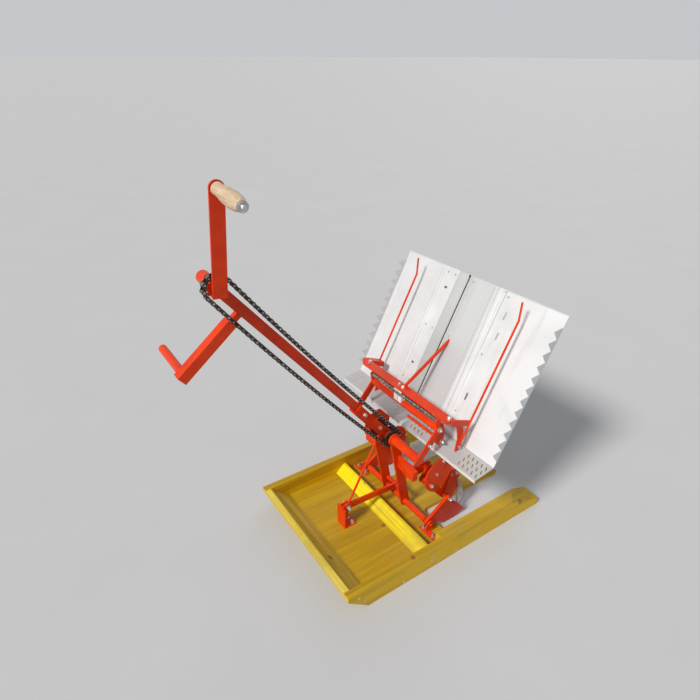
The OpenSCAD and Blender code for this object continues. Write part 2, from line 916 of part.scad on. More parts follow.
module centre_stay() {
  tip = plate_point(stay_reach, -4);
  color(red) difference() {
    rod([tray_x, guide_y - 2, bar_z], [tray_x, tip[0], tip[1]], 4);
    translate([tray_x - 20, guide_y - 30, bar_z + plate_t - 30]) cube([40, 80, 30]);
    slab(-40, 40) polygon([plate_point(150, -sheet_t), plate_point(260, -sheet_t),
                           plate_point(260, -20), plate_point(150, -20)]);
  }
}

deck();
nose_plank();
rail_left();
rail_right();
rail_inner();
batten();
front_foot();
side_foot_left();
side_foot_right();
foot_tube();
base_strut();
front_strut();
leg_left();
leg_right();
leg_brace();
shaft_tube_left();
shaft_tube_centre();
shaft_tube_right();
cross_bar_left();
cross_bar_right();
bearing_left();
bearing_right();
idler_plate();
end_plate_left();
end_plate_right();
drive_plate();
guide_tube();
beam();
beam_sleeve();
hand_hold();
crank_bearing();
chain();
crank_shaft();
crank_arm();
crank_grip();
grip_spindle();
main_shaft();
idler_gear();
feed_screw();
planting_shaft();
planting_arm_left();
planting_arm_right();
fork_left();
fork_right();
rocker_left();
rocker_right();
tray_left();
tray_right();
tray_ties();
carriage_bar();
carriage_shoes();
press_rod_left();
press_rod_right();
centre_stay();
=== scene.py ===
"""Looks for the walk behind rice transplanter: materials, fasteners, welds, chain, camera and light."""
import json
import math
import random

import bmesh
import bpy
from mathutils import Matrix, Vector

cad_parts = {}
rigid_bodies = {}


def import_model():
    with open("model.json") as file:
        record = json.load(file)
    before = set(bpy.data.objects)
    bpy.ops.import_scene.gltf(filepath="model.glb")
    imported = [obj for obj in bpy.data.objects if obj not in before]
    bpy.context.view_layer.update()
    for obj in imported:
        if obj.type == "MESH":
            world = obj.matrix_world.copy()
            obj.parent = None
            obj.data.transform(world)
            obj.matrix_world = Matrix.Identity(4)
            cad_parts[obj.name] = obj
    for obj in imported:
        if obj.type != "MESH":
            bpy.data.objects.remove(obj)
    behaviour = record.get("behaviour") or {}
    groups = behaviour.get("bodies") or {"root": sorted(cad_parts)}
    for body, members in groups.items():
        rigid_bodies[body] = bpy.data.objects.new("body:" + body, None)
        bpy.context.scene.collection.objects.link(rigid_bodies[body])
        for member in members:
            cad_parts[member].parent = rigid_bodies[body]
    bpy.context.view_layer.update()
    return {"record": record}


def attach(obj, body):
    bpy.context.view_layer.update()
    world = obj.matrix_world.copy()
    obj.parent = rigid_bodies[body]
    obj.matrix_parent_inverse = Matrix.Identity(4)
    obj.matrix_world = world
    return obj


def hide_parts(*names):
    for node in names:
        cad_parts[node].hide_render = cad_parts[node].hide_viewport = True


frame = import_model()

# Lengths are in millimetres, as in the part's source, and mm() and at() turn them into metres.
# X runs to the machine's right, Y from the nose plank to the tray, Z up. A pair is (y, z).
RIGHT = (1, 0, 0)
LEFT = (-1, 0, 0)
UP = (0, 0, 1)
SIDES = (-1, 1)

MAIN_SHAFT = (-51.0, 247.8)
FOOT_TUBE = (-5.0, 32.0)
GUIDE_TUBE = (0.0, 313.0)
PLANTING_SHAFT = (12.0, 175.0)
FRONT_PIVOT = (-160.0, 66.0)
ROCKER_EYE = (59.0, 76.0)
PLANTING_THROW = 30
PLANTING_TURN = 233

BEAM_SLOPE = math.atan2(0.7725, -0.635)
HOLD_U = 525
HOLD_LENGTH = 151
CRANK_LENGTH = 160
CRANK_LEAN = 4.5
GRIP_DROP = 5.5

TRAY_X = -4.0
TRAY_FOLD = (55.0, 262.0)
TRAY_SLOPE = math.radians(63.5)

CHAIN_X = 26.0
CHAIN_SAG = 6.0
PITCH = 12.7
TEETH = 11
STRAND_LINKS = 47.5
LINKS = int(2 * STRAND_LINKS) + TEETH
BEAM_LENGTH = STRAND_LINKS * PITCH
SPROCKET_RADIUS = PITCH / 2 / math.sin(math.pi / TEETH)


def mm(x, y, z):
    return Vector((x, y, z)) / 1000


def at(x, pair):
    return mm(x, pair[0], pair[1])


def around(center, radius, degrees):
    """(y, z) of a point on a circle: 0 degrees lies along Y, 90 degrees is up."""
    turn = math.radians(degrees)
    return (center[0] + radius * math.cos(turn), center[1] + radius * math.sin(turn))


def beam_point(u, v):
    """(y, z) of a point u along the beam and v across it."""
    return (MAIN_SHAFT[0] + u * math.cos(BEAM_SLOPE) + v * math.sin(BEAM_SLOPE),
            MAIN_SHAFT[1] + u * math.sin(BEAM_SLOPE) - v * math.cos(BEAM_SLOPE))


def plate_point(along, off):
    """(y, z) of a point along the tray's plate from its fold, and off its face."""
    return (TRAY_FOLD[0] + along * math.cos(TRAY_SLOPE) - off * math.sin(TRAY_SLOPE),
            TRAY_FOLD[1] + along * math.sin(TRAY_SLOPE) + off * math.cos(TRAY_SLOPE))


IDLER_SHAFT = ((MAIN_SHAFT[0] + PLANTING_SHAFT[0]) / 2, (MAIN_SHAFT[1] + PLANTING_SHAFT[1]) / 2)
ARM_PIN = around(PLANTING_SHAFT, PLANTING_THROW, PLANTING_TURN)
CRANK_SHAFT = beam_point(BEAM_LENGTH, 0)
GRIP_PIN = around(CRANK_SHAFT, CRANK_LENGTH, 90 - CRANK_LEAN)
HAND_HOLD = beam_point(HOLD_U, -HOLD_LENGTH)


# Shader nodes

class Nodes:
    """A small builder for one material's shader nodes. Radii are in metres."""

    def __init__(self, name):
        self.mat = bpy.data.materials.new(name)
        self.mat.use_nodes = True
        self.tree = self.mat.node_tree
        self.tree.nodes.clear()
        out = self.add("ShaderNodeOutputMaterial")
        self.bsdf = self.add("ShaderNodeBsdfPrincipled")
        self.link(self.bsdf.outputs[0], out.inputs[0])
        self.coords = self.add("ShaderNodeTexCoord")
        self.place = self.coords.outputs["Object"]

    def add(self, kind, **values):
        node = self.tree.nodes.new(kind)
        for key, value in values.items():
            setattr(node, key, value)
        return node

    def link(self, a, b):
        self.tree.links.new(a, b)

    def set_or_link(self, socket, value):
        """Put a number or a colour on a socket, or link another node's output to it."""
        if isinstance(value, (int, float)):
            socket.default_value = value
        elif isinstance(value, tuple):
            socket.default_value = (*value, 1.0)
        else:
            self.link(value, socket)

    def stretched(self, scale):
        """Object coordinates with a scale of their own along each axis."""
        node = self.add("ShaderNodeMapping")
        node.inputs["Scale"].default_value = scale
        self.link(self.place, node.inputs["Vector"])
        return node.outputs[0]

    def noise(self, scale, detail=4.0, rough=0.55, vector=None, distortion=0.0):
        node = self.add("ShaderNodeTexNoise")
        node.inputs["Scale"].default_value = scale
        node.inputs["Detail"].default_value = detail
        node.inputs["Roughness"].default_value = rough
        node.inputs["Distortion"].default_value = distortion
        self.link(vector or self.place, node.inputs["Vector"])
        return node.outputs["Fac"]

    def ramp(self, value, low, high, out_low=0.0, out_high=1.0):
        node = self.add("ShaderNodeMapRange", clamp=True)
        node.inputs["From Min"].default_value = low
        node.inputs["From Max"].default_value = high
        node.inputs["To Min"].default_value = out_low
        node.inputs["To Max"].default_value = out_high
        self.link(value, node.inputs["Value"])
        return node.outputs[0]

    def math(self, operation, a, b):
        node = self.add("ShaderNodeMath", operation=operation)
        self.set_or_link(node.inputs[0], a)
        self.set_or_link(node.inputs[1], b)
        return node.outputs[0]

    def times(self, a, b):
        return self.math("MULTIPLY", a, b)

    def plus(self, a, b):
        return self.math("ADD", a, b)

    def mix(self, factor, a, b):
        """Colour a where the factor is 0, colour b where it is 1."""
        node = self.add("ShaderNodeMix", data_type="RGBA")
        self.set_or_link(node.inputs[0], factor)
        self.set_or_link(node.inputs[6], a)
        self.set_or_link(node.inputs[7], b)
        return node.outputs[2]

    def near(self, point, radius, soft):
        """1 within radius of a point in millimetres, 0 beyond radius + soft."""
        node = self.add("ShaderNodeVectorMath", operation="DISTANCE")
        self.link(self.place, node.inputs[0])
        node.inputs[1].default_value = mm(*point)
        return self.ramp(node.outputs["Value"], radius / 1000, (radius + soft) / 1000, 1.0, 0.0)

    def band(self, low, high, soft):
        """1 between two places along the object's X in metres, 0 outside."""
        split = self.add("ShaderNodeSeparateXYZ")
        self.link(self.place, split.inputs[0])
        rise = self.ramp(split.outputs["X"], low - soft, low)
        fall = self.ramp(split.outputs["X"], high, high + soft, 1.0, 0.0)
        return self.times(rise, fall)

    def facing_up(self):
        """The object's own normal along Z: 1 on faces that look up, 0 on upright ones."""
        split = self.add("ShaderNodeSeparateXYZ")
        self.link(self.coords.outputs["Normal"], split.inputs[0])
        return split.outputs["Z"]

    def edge(self, radius):
        """1 along sharp edges, from the difference of a rounded normal, and that normal itself."""
        bevel = self.add("ShaderNodeBevel", samples=4)
        bevel.inputs["Radius"].default_value = radius
        geometry = self.add("ShaderNodeNewGeometry")
        dot = self.add("ShaderNodeVectorMath", operation="DOT_PRODUCT")
        self.link(bevel.outputs[0], dot.inputs[0])
        self.link(geometry.outputs["Normal"], dot.inputs[1])
        return self.ramp(dot.outputs["Value"], 0.99, 0.8), bevel.outputs[0]

    def bump(self, height, strength, distance, normal=None):
        node = self.add("ShaderNodeBump")
        node.inputs["Strength"].default_value = strength
        node.inputs["Distance"].default_value = distance
        self.link(height, node.inputs["Height"])
        if normal is not None:
            self.link(normal, node.inputs["Normal"])
        return node.outputs[0]

    def finish(self, color, rough, metallic=0.0, normal=None, coat=0.0, coat_rough=0.1):
        self.set_or_link(self.bsdf.inputs["Base Color"], color)
        self.set_or_link(self.bsdf.inputs["Roughness"], rough)
        self.set_or_link(self.bsdf.inputs["Metallic"], metallic)
        self.set_or_link(self.bsdf.inputs["Coat Weight"], coat)
        self.set_or_link(self.bsdf.inputs["Coat Roughness"], coat_rough)
        if normal is not None:
            self.link(normal, self.bsdf.inputs["Normal"])
        return self.mat


# Materials

def enamel():
    """Brushed-on orange red enamel: an uneven coat, dusty patches and chips along edges."""
    deep = (0.66, 0.032, 0.002)
    bright = (0.80, 0.056, 0.003)
    dusty = (0.46, 0.045, 0.012)
    primer = (0.16, 0.10, 0.08)
    n = Nodes("orange_enamel")
    edge, rounded = n.edge(0.0007)
    patch = n.noise(22, 5)
    fine = n.noise(260, 4)
    dust = n.ramp(n.noise(55, 6, 0.7), 0.60, 0.72, 0.0, 0.30)
    chip = n.times(n.ramp(n.noise(340, 3), 0.56, 0.66), edge)
    color = n.mix(n.ramp(patch, 0.35, 0.7), deep, bright)
    color = n.mix(dust, color, dusty)
    color = n.mix(chip, color, primer)
    rough = n.ramp(patch, 0.3, 0.75, 0.24, 0.42)
    height = n.plus(n.times(fine, 0.4), n.noise(60, 3))
    n.bsdf.inputs["Specular IOR Level"].default_value = 0.20
    return n.finish(color, rough, 0.0, n.bump(height, 0.18, 0.0009, rounded), 0.04, 0.2)


ALONG_Y = (95, 4, 95)
ALONG_X = (4, 95, 95)
WORN_TOP = ((0.40, 0.235, 0.010), (0.54, 0.345, 0.012))
BLEACHED_TOP = ((0.56, 0.40, 0.020), (0.84, 0.68, 0.14))
# The batten's tones, brighter than the other boards: its yellow paint lightened as painted highlight.
BATTEN_HIGHLIGHT_TOP = ((0.78, 0.60, 0.004), (0.90, 0.74, 0.006))
PAINTED_SIDE = (0.80, 0.50, 0.004)
# The nose plank's upright faces, darker brown: painted shade.
NOSE_SHADED_SIDE = (0.62, 0.40, 0.010)
# The batten's side tone, lightened likewise as painted highlight.
BATTEN_HIGHLIGHT_SIDE = (0.82, 0.66, 0.01)

# Knots: a point in the object and its radius, in millimetres.
DECK_KNOTS = [((215, 229, 46), 6), ((-185, -90, 30), 5), ((206, -120, 58), 4),
              ((-30, -150, 12), 6), ((60, -90, 12), 4), ((20, 180, 12), 7)]
NOSE_KNOTS = [((90, -266, 40), 5)]
BATTEN_KNOTS = [((-70, -57, 35), 2)]


def boards(name, scale, knots, tones=WORN_TOP, side=PAINTED_SIDE):
    """Yellow painted pine with grain, growth lines, knots and scuffs, most worn where it faces up; nose
    plank sides in painted shade.
    """
    growth = (0.34, 0.19, 0.010)
    scuffed = (0.37, 0.27, 0.06)
    rubbed = (0.56, 0.42, 0.09)
    knot = (0.20, 0.08, 0.02)
    bare = (0.30, 0.20, 0.05)
    n = Nodes(name)
    edge, rounded = n.edge(0.0012)
    long_way = n.stretched(scale)
    grain = n.noise(1.0, 8, 0.62, long_way, 0.35)
    bands = n.noise(0.35, 3, 0.5, long_way, 1.2)
    worn = n.noise(9, 5, 0.6)
    color = n.mix(n.ramp(grain, 0.35, 0.68), *tones)
    # Upright faces take the side colour; on the nose plank that colour is painted shade.
    upright = n.ramp(n.facing_up(), 0.25, 0.75, 1.0, 0.0)
    color = n.mix(n.times(upright, n.ramp(grain, 0.3, 0.7, 0.95, 0.60)), color, side)
    color = n.mix(n.ramp(bands, 0.52, 0.62, 0.0, 0.45), color, growth)
    color = n.mix(n.ramp(worn, 0.56, 0.74, 0.0, 0.55), color, scuffed)
    color = n.mix(n.times(edge, 0.5), color, rubbed)
    for point, radius in knots:
        color = n.mix(n.times(n.near(point, radius, radius * 0.8), 0.75), color, knot)
    scratch = n.noise(1.0, 2, 0.5, n.stretched((260, 14, 200)))
    color = n.mix(n.ramp(scratch, 0.66, 0.72, 0.0, 0.35), color, bare)
    rough = n.ramp(worn, 0.4, 0.7, 0.42, 0.66)
    height = n.plus(n.times(grain, 0.8), n.noise(120, 3))
    n.bsdf.inputs["Specular IOR Level"].default_value = 0.25
    return n.finish(color, rough, 0.0, n.bump(height, 0.35, 0.0012, rounded), 0.04, 0.3)


# Panels of the tray greyed with painted shade, from X to X in metres, with a share and a tone:
# the left pan's slope beside the seam, the right pan's inner panel, the left pan's outer panel.
TRAY_PAINTED_SHADE_PANELS = [(-0.057, -0.031, 0.80, (0.38, 0.385, 0.38)),
               (-0.020, 0.057, 0.70, (0.47, 0.475, 0.48)),
               (-0.256, -0.115, 0.30, (0.56, 0.565, 0.57))]


def sheet():
    """Thin silver white sheet: faint rolling lines, water marks, smears, a dull edge and panels of painted
    shade.
    """
    clean = (0.74, 0.745, 0.75)
    stained = (0.60, 0.605, 0.61)
    run = (0.50, 0.50, 0.50)
    spot = (0.46, 0.44, 0.41)
    mud = (0.43, 0.42, 0.415)
    rubbed = (0.45, 0.45, 0.46)
    n = Nodes("tray_sheet")
    edge, rounded = n.edge(0.0006)
    rolled = n.noise(1.0, 3, 0.5, n.stretched((240, 6, 6)))
    stain = n.noise(7, 6, 0.62, None, 0.5)
    runs = n.noise(1.0, 5, 0.6, n.stretched((34, 5, 5)), 0.3)
    spots = n.noise(95, 3)
    color = n.mix(n.ramp(stain, 0.42, 0.72), clean, stained)
    color = n.mix(n.ramp(runs, 0.55, 0.72, 0.0, 0.35), color, run)
    color = n.mix(n.ramp(spots, 0.64, 0.74, 0.0, 0.25), color, spot)
    # Painted shade: some panels of the pans are greyed as if they lay in shade.
    for low, high, share, tone in TRAY_PAINTED_SHADE_PANELS:
        color = n.mix(n.times(n.band(low, high, 0.002), share), color, tone)
    muddy = n.times(n.ramp(n.facing_up(), 0.6, 0.95), n.ramp(stain, 0.25, 0.6, 0.65, 1.0))
    color = n.mix(muddy, color, mud)
    color = n.mix(n.times(edge, 0.35), color, rubbed)
    rough = n.ramp(n.plus(rolled, stain), 0.7, 1.3, 0.40, 0.58)
    height = n.plus(n.times(rolled, 0.2), n.noise(6, 2))
    return n.finish(color, rough, 0.12, n.bump(height, 0.10, 0.0015, rounded))


def metal(name, light, dark, rough_low, rough_high, metallic):
    """Bare or oily metal with a fine grain, smears and lighter edges."""
    n = Nodes(name)
    edge, rounded = n.edge(0.0004)
    film = n.noise(70, 5, 0.6)
    fine = n.noise(600, 3)
    color = n.mix(n.ramp(film, 0.35, 0.68), light, dark)
    color = n.mix(n.times(edge, 0.5), color, light)
    rough = n.ramp(film, 0.3, 0.7, rough_low, rough_high)
    return n.finish(color, rough, metallic, n.bump(fine, 0.15, 0.0004, rounded))


def nylon():
    """White nylon, slightly yellowed, with cutter marks and greasy smears."""
    clean = (0.92, 0.92, 0.89)
    greasy = (0.74, 0.71, 0.64)
    n = Nodes("white_nylon")
    rounded = n.edge(0.0008)[1]
    smear = n.noise(60, 5)
    color = n.mix(n.ramp(smear, 0.45, 0.72), clean, greasy)
    rough = n.ramp(smear, 0.4, 0.7, 0.38, 0.5)
    marks = n.noise(1.0, 3, 0.5, n.stretched((40, 900, 900)))
    n.bsdf.inputs["Subsurface Weight"].default_value = 0.1
    n.bsdf.inputs["Subsurface Scale"].default_value = 0.004
    return n.finish(color, rough, 0.0, n.bump(marks, 0.15, 0.0004, rounded))


def turned_wood():
    """Turned beige grip with grain along it and a darker, handled skin in patches."""
    brown = (0.50, 0.34, 0.20)
    beige = (0.72, 0.56, 0.38)
    handled = (0.40, 0.27, 0.16)
    n = Nodes("grip_wood")
    grain = n.noise(1.0, 7, 0.6, n.stretched((18, 330, 330)), 0.3)
    hands = n.noise(45, 4)
    color = n.mix(n.ramp(grain, 0.35, 0.68), brown, beige)
    color = n.mix(n.ramp(hands, 0.55, 0.7, 0.0, 0.4), color, handled)
    rough = n.ramp(hands, 0.4, 0.7, 0.35, 0.55)
    return n.finish(color, rough, 0.0, n.bump(grain, 0.3, 0.0006))


ENAMEL = enamel()
BOARDS_LONG = boards("yellow_boards_long", ALONG_Y, DECK_KNOTS)
# The nose plank's finish, with its sides darkened as painted shade.
BOARDS_ACROSS = boards("yellow_boards_across", ALONG_X, NOSE_KNOTS, BLEACHED_TOP, NOSE_SHADED_SIDE)
# A brighter copy of the boards for the batten: painted highlight for the sheen on its sloping face.
BATTEN_HIGHLIGHT_YELLOW = boards("batten_yellow_painted_highlight", ALONG_X, BATTEN_KNOTS, BATTEN_HIGHLIGHT_TOP, BATTEN_HIGHLIGHT_SIDE)
SHEET = sheet()
NYLON = nylon()
OILED = metal("oiled_steel", (0.10, 0.09, 0.08), (0.018, 0.016, 0.014), 0.3, 0.5, 0.8)
WORN = metal("worn_chain_steel", (0.50, 0.47, 0.42), (0.16, 0.14, 0.12), 0.2, 0.42, 0.95)
BRIGHT = metal("bright_steel", (0.66, 0.66, 0.66), (0.36, 0.35, 0.34), 0.22, 0.42, 0.95)
ZINC = metal("zinc_fastener", (0.78, 0.78, 0.76), (0.50, 0.49, 0.46), 0.22, 0.4, 0.95)
GRIP_WOOD = turned_wood()

SLOT_MATERIAL = {
    "orange_paint": ENAMEL,
    "yellow_paint": BOARDS_LONG,
    "tray_sheet": SHEET,
    "white_nylon": NYLON,
    "oiled_steel": OILED,
    "bright_steel": BRIGHT,
    "grip_wood": GRIP_WOOD,
}
OWN_FINISH = {"nose_plank": BOARDS_ACROSS, "batten": BATTEN_HIGHLIGHT_YELLOW, "feed_screw": WORN}


def dress_cad_nodes():
    """Give each solid of the frame the material of its slot, or its own finish."""
    for part in frame["record"]["subparts"]:
        node = bpy.data.objects[part["node"]]
        finish = OWN_FINISH.get(part["node"], SLOT_MATERIAL[part["material_slot"]])
        for slot in node.material_slots:
            slot.material = finish
        if not node.material_slots:
            node.data.materials.append(finish)


dress_cad_nodes()


# Meshes

def piece(name, mesh, material, body):
    """Make one object of a bmesh, give it its finish and let it ride on a body."""
    bmesh.ops.recalc_face_normals(mesh, faces=mesh.faces)
    data = bpy.data.meshes.new(name)
    mesh.to_mesh(data)
    mesh.free()
    data.materials.append(material)
    obj = bpy.data.objects.new(name, data)
    bpy.context.scene.collection.objects.link(obj)
    for face in data.polygons:
        face.use_smooth = False
    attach(obj, body)
    return obj


def frame_along(axis):
    """Rotation that turns +Z onto a direction."""
    return Vector(axis).to_track_quat("Z", "Y").to_matrix().to_4x4()


def standing(point, axis):
    """Matrix that stands a shape on a point, with its +Z along a direction."""
    return Matrix.Translation(point) @ frame_along(axis)


def ring(mesh, matrix, profile, sides, turn=0.0):
    """Add a turned shape: profile is (radius, height) pairs from bottom to top."""
    rows = []
    for radius, height in profile:
        row = []
        for k in range(sides):
            a = turn + 2 * math.pi * k / sides
            row.append(mesh.verts.new(matrix @ Vector((radius * math.cos(a), radius * math.sin(a), height))))
        rows.append(row)
    bridge(mesh, rows)


def bridge(mesh, rows):
    """Join closed rows of vertices to a tube and close both its ends."""
    sides = len(rows[0])
    for low, high in zip(rows, rows[1:]):
        for k in range(sides):
            mesh.faces.new((low[k], low[(k + 1) % sides], high[(k + 1) % sides], high[k]))
    mesh.faces.new(list(reversed(rows[0])))
    mesh.faces.new(rows[-1])


def rod(mesh, matrix, radius, length, chamfer, sides):
    """Add a round bar with a small chamfer at each end."""
    narrow = radius * 0.7
    profile = [(narrow, 0.0), (radius, chamfer), (radius, length - chamfer), (narrow, length)]
    ring(mesh, matrix, profile, sides)


# Nuts and bolts. Each is (seat, axis, radius of the thread, millimetres of thread that show past the nut).
random.seed(11)


def add_bolt(mesh, point, axis, size, stem):
    """A hex head or nut with its washer."""
    m = standing(point, axis)
    r = size / 1000
    lift = r * 0.36
    ring(mesh, m, [(r * 1.95, 0), (r * 1.95, r * 0.28), (r * 1.8, lift)], 20)
    turn = random.uniform(0, math.pi)
    top = lift + r * 1.4
    hexagon = [(r * 1.62, lift), (r * 1.72, lift + r * 0.15), (r * 1.72, lift + r * 1.15), (r * 1.45, top)]
    ring(mesh, m, hexagon, 6, turn)
    if stem:
        thread = [(r * 0.96, top)]
        for k in range(stem):
            thread += [(r * 0.88, top + (k + 0.5) / 1000), (r * 0.96, top + (k + 1.0) / 1000)]
        ring(mesh, m, thread + [(r * 0.7, thread[-1][1] + 0.0006)], 12)


def fasteners(name, body, bolts):
    """All the bolts of one body as one piece."""
    mesh = bmesh.new()
    for point, axis, size, stem in bolts:
        add_bolt(mesh, point, axis, size, stem)
    return piece(name, mesh, ZINC, body)


def both(x, pair, size, stem):
    """The same bolt on the right and on the left."""
    return [(at(x, pair), RIGHT, size, stem), (at(-x, pair), LEFT, size, stem)]


SLEEVE_SIDE = 15
SLEEVE_BOLTS_U = (42, 112)
FRONT_CHEEK_SIDE = 7
END_PLATES = ((129, RIGHT), (-119, LEFT))
END_PLATE_BOLT = (-26, 280)
DRIVE_PLATE_SIDE = 125.2
DRIVE_PLATE_BOLT = (14, 273)
DRIVE_PLATE_SMALL_BOLT = (-1, 268)
FOOT_PLATE_TOP = 15
FRONT_FOOT_BOLTS_X = (-10, 10)
FRONT_FOOT_BOLTS_Y = -152
SIDE_FOOT_BOLTS_X = (123, 157)
SIDE_FOOT_BOLTS_Y = -14
IDLER_PIN_END = -18


def frame_bolts():
    bolts = []
    for u in SLEEVE_BOLTS_U:
        bolts += both(SLEEVE_SIDE, beam_point(u, 0), 2.6, 0)
    bolts += both(FRONT_CHEEK_SIDE, FRONT_PIVOT, 3.4, 3)
    bolts += [(at(x, GUIDE_TUBE), way, 3.2, 2) for x, way in END_PLATES]
    bolts += [(at(x, END_PLATE_BOLT), way, 2.4, 1) for x, way in END_PLATES]
    bolts += [(mm(x, FRONT_FOOT_BOLTS_Y, FOOT_PLATE_TOP), UP, 2.8, 3) for x in FRONT_FOOT_BOLTS_X]
    bolts.append((at(DRIVE_PLATE_SIDE, DRIVE_PLATE_BOLT), RIGHT, 2.8, 3))
    bolts.append((at(DRIVE_PLATE_SIDE, DRIVE_PLATE_SMALL_BOLT), RIGHT, 1.8, 0))
    for s in SIDES:
        bolts += [(mm(s * x, SIDE_FOOT_BOLTS_Y, FOOT_PLATE_TOP), UP, 2.8, 3) for x in SIDE_FOOT_BOLTS_X]
    bolts.append((at(IDLER_PIN_END, IDLER_SHAFT), RIGHT, 2.8, 0))
    fasteners("frame_bolts", "frame", bolts)


GRIP_END = 0.0914
CRANK_ARM_OUTSIDE = 44
CRANK_ARM_INSIDE = 40


def crank_bolts():
    """The nut at the end of the grip's spindle and the head at its root."""
    drop = math.radians(GRIP_DROP)
    along_grip = (math.cos(drop), 0, -math.sin(drop))
    grip_end = at(CRANK_ARM_OUTSIDE, GRIP_PIN) + Vector(along_grip) * GRIP_END
    bolts = [(grip_end, along_grip, 2.4, 0), (at(CRANK_ARM_INSIDE, GRIP_PIN), LEFT, 3, 0)]
    fasteners("crank_bolts", "crank", bolts)


BAR_X = TRAY_X + 8
BAR_TOP = 354
SHOE_BOLTS_X = (-14, 0)
SHOE_BOLTS_Y = 1
BAR_END_BOLTS_X = (-146, 146)
BAR_END_BOLTS_Y = 5
STRAP_SIDE = 154
STRAP_FOOT = (38, 268)


def carriage_bolts():
    bolts = [(mm(TRAY_X + x, SHOE_BOLTS_Y, BAR_TOP), UP, 2.4, 1) for x in SHOE_BOLTS_X]
    bolts += [(mm(BAR_X + x, BAR_END_BOLTS_Y, BAR_TOP), UP, 3, 2) for x in BAR_END_BOLTS_X]
    bolts += [(at(BAR_X + s * STRAP_SIDE, STRAP_FOOT), (s, 0, 0), 2.2, 0) for s in SIDES]
    fasteners("carriage_bolts", "carriage", bolts)


ARM_SIDE = 109
ARM_BOLTS = ((76, 134), (94, 130))
ROCKER_SIDE = 130
CRANK_PLATE_SIDE = 124
CRANK_PLATE_SMALL_BOLT = (29, 207)
ARM_PIN_END = 128
PLANTING_ROWS = ((1, "right", RIGHT), (-1, "left", LEFT))


def planting_bolts():
    """Bolts of both planting arms, rockers and crank plates."""
    for s, suffix, way in PLANTING_ROWS:
        arm = [(at(s * ARM_SIDE, place), way, 2.4, 1) for place in ARM_BOLTS]
        fasteners("arm_bolts_" + suffix, "arm_" + suffix, arm)
        rocker = [(at(s * ROCKER_SIDE, ROCKER_EYE), way, 3, 2)]
        fasteners("rocker_bolt_" + suffix, "rocker_" + suffix, rocker)
    plates = both(CRANK_PLATE_SIDE, PLANTING_SHAFT, 2, 0)
    plates += both(CRANK_PLATE_SIDE, CRANK_PLATE_SMALL_BOLT, 1.8, 0)
    plates += both(ARM_PIN_END, ARM_PIN, 2.6, 1)
    fasteners("shaft_bolts", "planting_shaft", plates)


frame_bolts()
crank_bolts()
carriage_bolts()
planting_bolts()


# Welds. Each bead is (path in metres, radius in millimetres).
LEG_SIDE = 39.9
PLATE_INSIDES = (-114.6, 124.6)
MAIN_TUBE_BEAD = 11.4
FOOT_TUBE_BEAD = 8
GUIDE_TUBE_BEAD = 8.4
HAND_HOLD_BEAD = 8.3
CROSS_BAR_SEAM_Y = -37.4
CROSS_BAR_SEAM_Z = (160, 194)
FOOT_SEAM_Z = FOOT_PLATE_TOP + 0.4
FRONT_FOOT_SEAM_Y = -172.4
FRONT_FOOT_SEAM_X = (-15, 15)
SIDE_FOOT_SEAM_X = 138.2
SIDE_FOOT_SEAM_Y = (-18, 6)
HOLD_SEAM_X = (-6.2, 6.2)
HOLD_SEAM_U = (HOLD_U - 6, HOLD_U + 6)
HOLD_SEAM_V = -10.4
HOLD_MOUNT_X = -10.2


def add_weld(mesh, path, radius):
    """A bead of overlapping ripples along a path."""
    steps = []
    for a, b in zip(path, path[1:]):
        count = max(2, int((b - a).length / (radius * 0.45)))
        steps += [(a.lerp(b, k / count), (b - a).normalized()) for k in range(count)]
    steps.append((path[-1], (path[-1] - path[-2]).normalized()))
    rows = []
    for index, (point, heading) in enumerate(steps):
        m = standing(point, heading)
        swell = radius * (1.0 + 0.16 * math.sin(index * 2.1) + random.uniform(-0.08, 0.08))
        if index in (0, len(steps) - 1):
            swell *= 0.55
        row = []
        for k in range(8):
            t = 2 * math.pi * k / 8
            row.append(mesh.verts.new(m @ Vector((swell * math.cos(t), swell * math.sin(t), 0))))
        rows.append(row)
    bridge(mesh, rows)


def circle_path(x, center, radius, count=24):
    return [at(x, around(center, radius, 360 * k / count)) for k in range(count + 1)]


def frame_welds():
    """Beads round the tubes at the legs and end plates, at the cross bars, the feet and the hand hold."""
    beads = [(circle_path(s * LEG_SIDE, MAIN_SHAFT, MAIN_TUBE_BEAD), 1.3) for s in SIDES]
    beads += [(circle_path(s * LEG_SIDE, FOOT_TUBE, FOOT_TUBE_BEAD), 1.3) for s in SIDES]
    beads += [(circle_path(x, MAIN_SHAFT, MAIN_TUBE_BEAD), 1.3) for x in PLATE_INSIDES]
    beads += [(circle_path(x, GUIDE_TUBE, GUIDE_TUBE_BEAD), 1.3) for x in PLATE_INSIDES]
    beads += [([mm(s * LEG_SIDE, CROSS_BAR_SEAM_Y, z) for z in CROSS_BAR_SEAM_Z], 1.4) for s in SIDES]
    beads += [([mm(x, FRONT_FOOT_SEAM_Y, FOOT_SEAM_Z) for x in FRONT_FOOT_SEAM_X], 1.4)]
    beads += [([mm(s * SIDE_FOOT_SEAM_X, y, FOOT_SEAM_Z) for y in SIDE_FOOT_SEAM_Y], 1.3) for s in SIDES]
    beads += [([at(x, beam_point(u, HOLD_SEAM_V)) for u in HOLD_SEAM_U], 1.3) for x in HOLD_SEAM_X]
    beads += [(circle_path(HOLD_MOUNT_X, HAND_HOLD, HAND_HOLD_BEAD), 1.3)]
    mesh = bmesh.new()
    for path, radius in beads:
        add_weld(mesh, path, radius / 1000)
    piece("frame_welds", mesh, ENAMEL, "frame")


frame_welds()


# Pusher rods beside the planting arms
ROD_SIDE = 111.4
ROD_TOP = (73, 136)
ROD_RADIUS = 2.2


